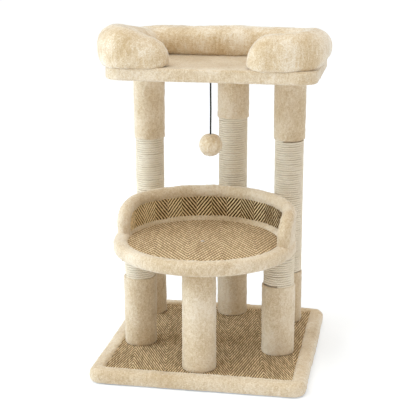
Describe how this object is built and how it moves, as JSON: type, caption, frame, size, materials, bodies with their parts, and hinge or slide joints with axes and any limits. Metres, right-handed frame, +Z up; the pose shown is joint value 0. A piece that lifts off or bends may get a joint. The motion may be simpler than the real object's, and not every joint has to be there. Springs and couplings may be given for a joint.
{
  "type": "cat tree",
  "caption": "Plush cat tree: square base with herringbone mat, rope and plush posts, round perch with curved wall, top bed with bolster and hanging ball.",
  "frame": {"origin": "centre of the base's underside, on the floor", "axes": "+Z up, +Y to the back, +X to the right seen from the front"},
  "size_m": [0.532, 0.526, 0.786],
  "materials": {
    "plush": "short cream plush",
    "long_plush": "longer cream plush",
    "herringbone_mat": "tan herringbone weave",
    "herringbone_panel": "dark and tan herringbone weave",
    "sisal_rope": "pale twisted rope",
    "particle_board": "raw",
    "paper_tube": "raw",
    "plug_plastic": "matte",
    "foam": "foam",
    "bolt_steel": "zinc plated",
    "screw_grey": "satin",
    "toy_cord": "black elastic cord"
  },
  "bodies": {
    "tree": {"base_board": "particle_board", "perch_board": "particle_board", "wall_board": "particle_board", "deck_board": "particle_board", "base_cover": "plush", "perch_cover": "plush", "wall_cover": "plush", "wall_trim": "plush", "deck_cover": "plush", "bolster": "long_plush", "base_mat": "herringbone_mat", "perch_mat": "herringbone_mat", "wall_panel": "herringbone_panel", "base_bolts": "bolt_steel", "base_washers": "bolt_steel", "perch_bolts": "bolt_steel", "perch_washers": "bolt_steel", "perch_screw": "screw_grey", "wall_screws": "bolt_steel", "deck_bolts": "bolt_steel", "deck_washers": "bolt_steel", "tube_rear_left": "paper_tube", "tube_rear_right": "paper_tube", "tube_rear_centre": "paper_tube", "tube_short_left": "paper_tube", "tube_short_right": "paper_tube", "tube_short_front": "paper_tube", "rope_rear_left": "sisal_rope", "rope_rear_right": "sisal_rope", "rope_rear_centre": "sisal_rope", "rope_short_left": "sisal_rope", "rope_short_right": "sisal_rope", "sleeve_top_left": "plush", "sleeve_top_right": "plush", "sleeve_top_centre": "plush", "sleeve_low_left": "plush", "sleeve_low_right": "plush", "sleeve_low_centre": "plush", "sleeve_short_left": "plush", "sleeve_short_right": "plush", "sleeve_short_front": "plush", "plugs_lower": "plug_plastic", "plugs_upper": "plug_plastic", "deck_foam": "foam", "toy_staple": "bolt_steel"},
    "cord_loop": {"toy_knot": "toy_cord"},
    "toy": {"toy_cord": "toy_cord", "toy_ball": "long_plush"}
  },
  "joints": [
    {"name": "toy_swing_front_back", "type": "hinge", "parent": "tree", "child": "cord_loop", "pos_m": [-0.008, 0, 0.6695], "axis": [1, 0, 0], "range_deg": [-45, 45]},
    {"name": "toy_swing_side", "type": "hinge", "parent": "cord_loop", "child": "toy", "pos_m": [-0.008, 0, 0.6635], "axis": [0, 1, 0], "range_deg": [-45, 45]}
  ]
}
